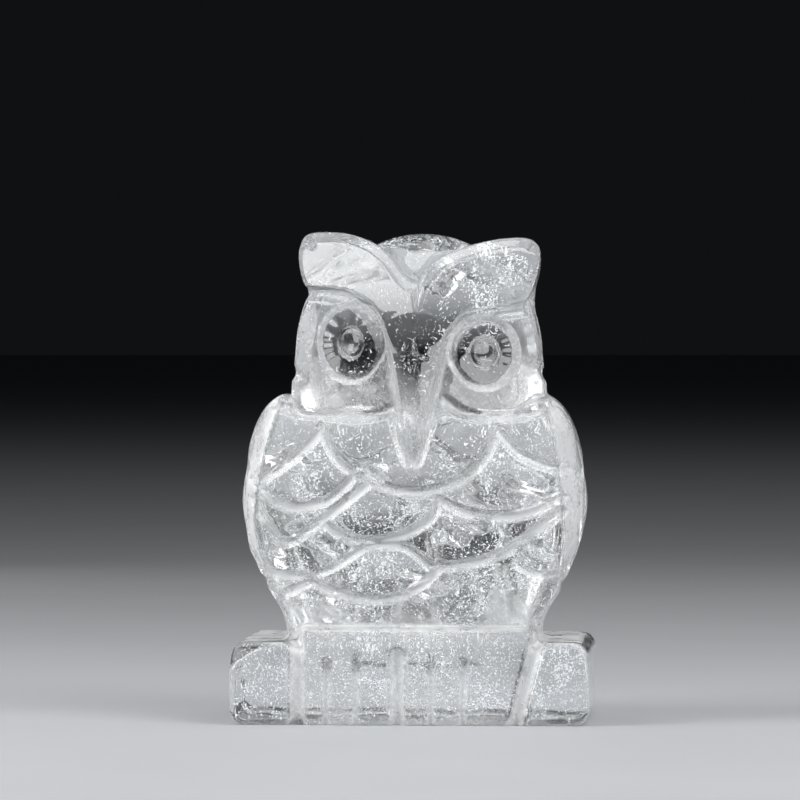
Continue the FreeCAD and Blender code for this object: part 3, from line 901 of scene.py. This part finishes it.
def object_place(tree):
    return tree.nodes.new("ShaderNodeTexCoord").outputs["Object"]


def read_mark(tree, name):
    node = tree.nodes.new("ShaderNodeAttribute")
    node.attribute_name = name
    return node.outputs["Fac"]


def noise(tree, place, scale, detail=2.0, roughness=0.5, distortion=0.0):
    """Cloudy noise from 0 to 1, scale patches to the metre."""
    node = tree.nodes.new("ShaderNodeTexNoise")
    tree.links.new(place, node.inputs["Vector"])
    node.inputs["Scale"].default_value = scale
    node.inputs["Detail"].default_value = detail
    node.inputs["Roughness"].default_value = roughness
    node.inputs["Distortion"].default_value = distortion
    return node.outputs["Fac"]


def stretch(tree, value, start, end, low, high):
    """Values from start to end, stretched to run from low to high, and held there."""
    node = tree.nodes.new("ShaderNodeMapRange")
    tree.links.new(value, node.inputs["Value"])
    for name, number in (("From Min", start), ("From Max", end), ("To Min", low), ("To Max", high)):
        node.inputs[name].default_value = number
    return node.outputs["Result"]


def arithmetic(tree, operation, *terms, clamp=False):
    """One sum on sockets and numbers."""
    node = tree.nodes.new("ShaderNodeMath")
    node.operation = operation
    node.use_clamp = clamp
    for socket, term in zip(node.inputs, terms):
        if isinstance(term, (int, float)):
            socket.default_value = term
        else:
            tree.links.new(term, socket)
    return node.outputs["Value"]


def set_colour(tree, shader, factor, first, second):
    """A base colour that varies between two colours."""
    mix = tree.nodes.new("ShaderNodeMix")
    mix.data_type = "RGBA"
    tree.links.new(factor, mix.inputs["Factor"])
    mix.inputs["A"].default_value = (*first, 1)
    mix.inputs["B"].default_value = (*second, 1)
    tree.links.new(mix.outputs["Result"], shader.inputs["Base Color"])


def set_bump(tree, shader, height, strength, distance):
    bump = tree.nodes.new("ShaderNodeBump")
    bump.inputs["Strength"].default_value = strength
    bump.inputs["Distance"].default_value = distance
    tree.links.new(height, bump.inputs["Height"])
    tree.links.new(bump.outputs["Normal"], shader.inputs["Normal"])


def clear_share(tree, place, frost):
    """How clear the stone looks: cloudy and dotted by its milk mark, white where ground."""
    clouds = stretch(tree, noise(tree, place, 170.0, 5.0, 0.6), 0.36, 0.66, 0.55, 1.0)
    dots = stretch(tree, noise(tree, place, 2600.0, 1.0, distortion=0.6), 0.50, 0.68, 0.85, 1.45)
    milk = arithmetic(tree, "MULTIPLY", clouds, read_mark(tree, "milk"))
    milk = arithmetic(tree, "MULTIPLY", milk, dots)
    white = arithmetic(tree, "MULTIPLY_ADD", frost, 0.32, milk)
    return arithmetic(tree, "SUBTRACT", 1.0, white, clamp=True)


def quartz_skin():
    """Polished where the frost mark is 0, with faint smears, and ground where it is 1."""
    material, tree, shader = new_material("polished_and_ground_quartz")
    place = object_place(tree)
    worn = stretch(tree, noise(tree, place, 420.0, 4.0, 0.6), 0.36, 0.60, 0.30, 1.0)
    frost = arithmetic(tree, "MULTIPLY", read_mark(tree, "frost"), worn)
    smear = noise(tree, place, 260.0, 4.0)
    roughness = stretch(tree, frost, 0.0, 1.0, 0.012, 0.36)
    roughness = arithmetic(tree, "MULTIPLY_ADD", roughness, smear, roughness)
    tree.links.new(roughness, shader.inputs["Roughness"])
    set_colour(tree, shader, smear, (0.955, 0.972, 0.985), (0.985, 0.99, 0.995))
    grind = arithmetic(tree, "MULTIPLY", noise(tree, place, 2600.0, 3.0), frost)
    set_bump(tree, shader, grind, 0.5, 0.00004)
    tree.links.new(clear_share(tree, place, frost), shader.inputs["Transmission Weight"])
    shader.inputs["IOR"].default_value = QUARTZ_IOR
    return material


def unseen_cut():
    """The regions meet inside one clear stone, where nothing shows."""
    material, _, shader = new_material("unseen_cut")
    shader.inputs["Alpha"].default_value = 0.0
    shader.inputs["Specular IOR Level"].default_value = 0.0
    return material


def crack_skin():
    """The rippled wall of an open crack in the clear stone."""
    material, tree, shader = new_material("crack_in_quartz")
    ripple = noise(tree, object_place(tree), 1500.0, 3.0)
    set_colour(tree, shader, ripple, (0.94, 0.96, 0.98), (1.0, 1.0, 1.0))
    set_bump(tree, shader, ripple, 0.6, 0.00008)
    shader.inputs["Roughness"].default_value = 0.03
    shader.inputs["IOR"].default_value = QUARTZ_IOR
    shader.inputs["Transmission Weight"].default_value = 1.0
    return material


def speck_white():
    material, tree, shader = new_material("mineral_speck")
    patches = noise(tree, object_place(tree), 400.0)
    set_colour(tree, shader, patches, (0.80, 0.82, 0.85), (0.97, 0.97, 0.96))
    shader.inputs["Roughness"].default_value = 0.5
    # Real specks only reflect. These also give off a little light, so that they show.
    shader.inputs["Emission Color"].default_value = (0.92, 0.96, 1.0, 1)
    shader.inputs["Emission Strength"].default_value = 0.6
    return material


def floor_paint():
    material, tree, shader = new_material("pale_floor")
    grain = noise(tree, object_place(tree), 30.0)
    set_colour(tree, shader, grain, (0.44, 0.45, 0.47), (0.48, 0.49, 0.51))
    shader.inputs["Roughness"].default_value = 0.7
    return material


# ---- the stone's pieces -------------------------------------------------------------
skin_material = quartz_skin()
cut_material = unseen_cut()
points, normals, marks, faces = mesh_stone()
for name, (quads, is_skin) in faces.items():
    piece = region_object(name, points, normals, marks, quads, is_skin, [skin_material, cut_material])
    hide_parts(name)
    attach(piece, "root")


# ---- flaws inside the stone ---------------------------------------------------------
# The stone isn't empty: it holds loose mineral specks, veils (curved sheets of tiny
# flecks along healed cracks) and a few open cracks that mirror the light.
SPECKS = 22000
SPECK_SIZE = (0.020, 0.075)
FLECK_SIZE = (0.02, 0.12)
FLAW_DEPTH = 0.30        # flaws stay this far below the skin
# Each veil: centre, the direction that the sheet faces, radius, number of flecks.
VEILS = [
    ((-13.0, -4.0, 4.0), (0.7, -0.5, 0.3), 6.5, 700),
    ((14.0, -3.0, 4.5), (-0.6, -0.6, 0.5), 6.0, 700),
    ((2.0, -2.0, 4.0), (0.2, -0.3, 0.9), 9.0, 1500),
    ((-6.0, -5.0, 14.0), (0.5, -0.8, 0.2), 7.5, 1500),
    ((8.0, -5.0, 16.0), (-0.4, -0.7, 0.5), 8.5, 1800),
    ((0.0, -2.0, 22.0), (0.3, -0.5, -0.8), 8.0, 1300),
    ((10.0, -3.0, 26.0), (0.8, -0.5, 0.2), 7.0, 1300),
    ((-10.0, -3.0, 24.0), (-0.7, -0.6, 0.3), 6.5, 1000),
    ((0.0, 3.0, 30.0), (0.1, -0.7, 0.7), 9.0, 1000),
    ((4.0, -3.0, 41.0), (0.5, -0.8, -0.2), 6.0, 700),
    ((8.0, -6.5, 46.0), (0.4, -0.9, 0.1), 4.0, 700),
]
# Each open crack: centre, direction, radius.
CRACKS = [
    ((-9.0, -6.5, 19.0), (0.5, -0.8, 0.5), 3.6),
    ((-12.5, -5.0, 26.5), (-0.2, -0.7, 0.8), 3.2),
    ((-4.0, -7.0, 24.5), (0.6, -0.6, -0.5), 3.0),
    ((5.5, -6.0, 20.5), (-0.5, -0.7, 0.6), 3.8),
    ((11.5, -5.0, 24.0), (0.6, -0.7, 0.4), 3.6),
    ((12.0, -5.5, 17.5), (-0.7, -0.5, -0.5), 3.0),
    ((1.5, -7.5, 14.5), (0.2, -0.8, 0.6), 3.4),
    ((-8.0, -4.0, 12.0), (-0.5, -0.8, 0.4), 2.8),
    ((8.5, -2.0, 11.5), (0.4, -0.8, -0.4), 3.0),
    ((2.5, -5.5, 44.5), (-0.4, -0.7, 0.6), 2.6),
]
CRACK_GAP = 0.05         # half of the gap in a crack's middle
CRACK_SQUASH = 0.7       # height of a crack as a share of its width


def deep_enough(points):
    return stone_field(*points.T)[0] < -FLAW_DEPTH


def speck_places(count):
    """Random places in the stone, more of them low down."""
    low = np.array([PERCH_LOW[0], FRONT, 0.0])
    high = np.array([PERCH_HIGH[0], BACK, TOP])
    points = RNG.uniform(low, high, (6 * count, 3))
    likely = 0.25 + 0.75 * ramp(points[:, 2], 34.0, 14.0)
    points = points[RNG.uniform(size=len(points)) < likely]
    return points[deep_enough(points)][:count]


def sheet_axes(facing):
    """Three square directions, the last of which is the direction that a sheet faces."""
    facing = np.array(facing) / np.linalg.norm(facing)
    across = np.cross(facing, (0.0, 0.0, 1.0))
    across /= np.linalg.norm(across)
    return across, np.cross(facing, across), facing


def veil_places(centre, facing, radius, count):
    """Clumped places on a wavy sheet with a ragged edge."""
    across, up, out = sheet_axes(facing)
    turn = RNG.uniform(0, 2 * math.pi, 3)
    u, v = RNG.uniform(-radius, radius, (2, 5 * count))
    edge = radius * (0.78 + 0.22 * np.sin(3 * np.arctan2(v, u) + turn[0]))
    clump = np.sin(1.9 * u + turn[1]) * np.sin(1.6 * v + turn[2])
    clump += 0.5 * np.sin(0.9 * (u + v) + turn[0])
    kept = (np.hypot(u, v) < edge) & (RNG.uniform(-1.2, 1.0, u.shape) < clump)
    u, v = u[kept], v[kept]
    bow = 0.9 * np.sin(0.42 * u + turn[1]) + 0.6 * np.sin(0.55 * v + turn[2])
    bow += RNG.normal(0, 0.05, u.shape)
    points = np.array(centre) + np.outer(u, across) + np.outer(v, up) + np.outer(bow, out)
    return points[deep_enough(points)][:count]


def flecks(places, sizes, flat_to=None):
    """A small irregular four-sided chip at each place: its corners and triangles."""
    corners = RNG.normal(size=(len(places), 4, 3))
    if flat_to is not None:
        out = sheet_axes(flat_to)[2]
        corners -= 0.8 * (corners @ out)[..., None] * out
    corners *= sizes[:, None, None]
    points = (places[:, None] + corners).reshape(-1, 3)
    first = 4 * np.arange(len(places))[:, None]
    sides = ((0, 1, 2), (0, 3, 1), (0, 2, 3), (1, 3, 2))
    triangles = np.vstack([first + np.array(side) for side in sides])
    return points, triangles


def crack_sheet(centre, facing, radius):
    """A thin wavy gap with a ragged rim: its points and its triangles, facing inwards."""
    across, up, out = sheet_axes(facing)
    turns, rings = 40, 9
    angle = np.linspace(0, 2 * math.pi, turns, endpoint=False)
    rag = 1 + 0.16 * np.sin(3 * angle + RNG.uniform(0, 6))
    rag += 0.10 * np.sin(7 * angle + RNG.uniform(0, 6))
    share = np.linspace(0, 1, rings + 1)[1:, None]
    u = (radius * share * rag * np.cos(angle)).ravel()
    v = (radius * CRACK_SQUASH * share * rag * np.sin(angle)).ravel()
    bow = 0.25 * np.sin(0.9 * u + RNG.uniform(0, 6))
    bow += 0.12 * np.sin(2.6 * v + 1.3 * u + RNG.uniform(0, 6))
    gap = CRACK_GAP * np.sqrt(np.maximum(1 - np.repeat(share.ravel(), turns) ** 2, 0))
    middle = np.array(centre) + np.outer(u, across) + np.outer(v, up) + np.outer(bow, out)
    inner = np.array(centre) + out * bow[:turns].mean()
    count = rings * turns
    points = np.vstack([middle + np.outer(gap, out), middle - np.outer(gap, out),
                        inner + CRACK_GAP * out, inner - CRACK_GAP * out])
    step = np.arange(turns)
    after = (step + 1) % turns
    front = [np.stack([np.full(turns, 2 * count), step, after], 1)]
    for ring in range(rings - 1):
        low, high = ring * turns, (ring + 1) * turns
        front.append(np.stack([low + step, high + step, high + after], 1))
        front.append(np.stack([low + step, high + after, low + after], 1))
    front = np.vstack(front)
    back = np.where(front == 2 * count, 2 * count + 1, front + count)
    rim = (rings - 1) * turns
    edge = np.vstack([np.stack([rim + step, rim + step + count, rim + after], 1),
                      np.stack([rim + after, rim + step + count, rim + after + count], 1)])
    return points, np.vstack([front[:, ::-1], back, edge])


def all_flecks():
    places = speck_places(SPECKS)
    groups = [flecks(places, RNG.uniform(*SPECK_SIZE, len(places)))]
    for centre, facing, radius, count in VEILS:
        places = veil_places(centre, facing, radius, count)
        groups.append(flecks(places, RNG.uniform(*FLECK_SIZE, len(places)), facing))
    return groups


def add_flaws(name, groups, material):
    """One piece from many small groups of points and triangles."""
    points = np.vstack([group[0] for group in groups])
    starts = np.cumsum([0] + [len(group[0]) for group in groups[:-1]])
    triangles = np.vstack([group[1] + start for group, start in zip(groups, starts)])
    mesh = bpy.data.meshes.new(name)
    mesh.from_pydata((points * MM).tolist(), [], triangles.tolist())
    mesh.materials.append(material)
    flaws = bpy.data.objects.new(name, mesh)
    bpy.context.scene.collection.objects.link(flaws)
    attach(flaws, "root")
    return flaws


add_flaws("mineral_flecks", all_flecks(), speck_white())
cracks = add_flaws("open_cracks", [crack_sheet(*crack) for crack in CRACKS], crack_skin())
cracks.data.polygons.foreach_set("use_smooth", [True] * len(cracks.data.polygons))


# ---- stage, light and camera --------------------------------------------------------
FLOOR_RADIUS = 12.0      # metres
LAMP_TARGET = Vector((0, 0, 0.025))
# Each lamp: name, azimuth and elevation in degrees, distance and size in metres, watts.
LAMPS = [
    ("key_left", -64, 28, 0.32, (0.18, 0.26), 0.86),
    ("key_right", 50, 37, 0.34, (0.20, 0.26), 0.80),
    ("top", 0, 88, 0.32, (0.24, 0.16), 0.36),
    ("back_left", -150, 22, 0.36, (0.20, 0.28), 0.060),
    ("back_right", 145, 22, 0.36, (0.20, 0.28), 0.060),
    ("ceiling", 0, 90, 1.0, (1.6, 1.6), 3.2),
]
WORLD_COLOUR = (0.75, 0.80, 0.88, 1)
WORLD_STRENGTH = 0.007   # nearly black, so that the stone has dark places to refract
# The view is a long lens far away, a little to the right and level with the owl's eyes.
VIEW_AZIMUTH = math.radians(3.5)
VIEW_PITCH = math.radians(0.623)
VIEW_DISTANCE = 0.600
VIEW_HEIGHT = 0.0393
VIEW_SLIDE = -0.00162    # sideways
VIEW_LENS = 261.9        # mm, on a sensor 36 mm wide


def pale_floor():
    """A wide round floor. The lamps stand near the owl, so the floor's far side is dim."""
    turns, rings = 64, 16
    verts = []
    for ring in range(1, rings + 1):
        reach = FLOOR_RADIUS * (ring / rings) ** 2
        for turn in range(turns):
            angle = 2 * math.pi * turn / turns
            verts.append((reach * math.cos(angle), reach * math.sin(angle), 0.0))
    centre = len(verts)
    verts.append((0.0, 0.0, 0.0))
    quads = [(centre, turn, (turn + 1) % turns) for turn in range(turns)]
    for ring in range(rings - 1):
        inner, outer = ring * turns, (ring + 1) * turns
        for turn in range(turns):
            after = (turn + 1) % turns
            quads.append((inner + turn, outer + turn, outer + after, inner + after))
    mesh = bpy.data.meshes.new("floor")
    mesh.from_pydata(verts, [], quads)
    mesh.materials.append(floor_paint())
    floor = bpy.data.objects.new("floor", mesh)
    bpy.context.scene.collection.objects.link(floor)


def area_light(name, azimuth, elevation, distance, size, power):
    """A soft lamp that faces the owl. Azimuth 0 is in front of it, +90 is to its right."""
    around, above = math.radians(azimuth), math.radians(elevation)
    level = math.cos(above)
    place = LAMP_TARGET + distance * Vector((math.sin(around) * level, -math.cos(around) * level,
                                             math.sin(above)))
    lamp = bpy.data.lights.new(name, "AREA")
    lamp.shape = "RECTANGLE"
    lamp.size, lamp.size_y = size
    lamp.energy = power
    holder = bpy.data.objects.new(name, lamp)
    holder.location = place
    holder.rotation_euler = (LAMP_TARGET - place).to_track_quat("-Z", "Y").to_euler()
    bpy.context.scene.collection.objects.link(holder)


def dim_world():
    world = bpy.data.worlds.new("studio")
    world.use_nodes = True
    background = world.node_tree.nodes["Background"]
    background.inputs["Color"].default_value = WORLD_COLOUR
    background.inputs["Strength"].default_value = WORLD_STRENGTH
    bpy.context.scene.world = world
    bpy.context.scene.view_settings.view_transform = "Standard"


def add_camera():
    lens = bpy.data.cameras.new("camera")
    lens.lens = VIEW_LENS
    lens.sensor_width = 36.0
    lens.clip_start = 0.01
    camera = bpy.data.objects.new("camera", lens)
    sine, cosine = math.sin(VIEW_AZIMUTH), math.cos(VIEW_AZIMUTH)
    camera.location = (VIEW_DISTANCE * sine + VIEW_SLIDE * cosine,
                       -VIEW_DISTANCE * cosine + VIEW_SLIDE * sine, VIEW_HEIGHT)
    camera.rotation_euler = (math.pi / 2 - VIEW_PITCH, 0, VIEW_AZIMUTH)
    bpy.context.scene.collection.objects.link(camera)
    bpy.context.scene.camera = camera


pale_floor()
for lamp in LAMPS:
    area_light(*lamp)
dim_world()
add_camera()

# Light crosses many walls on its way through the grooves and cracks.
cycles = bpy.context.scene.cycles
cycles.max_bounces = 32
cycles.transmission_bounces = 28
cycles.transparent_max_bounces = 64
cycles.glossy_bounces = 16
cycles.use_denoising = True
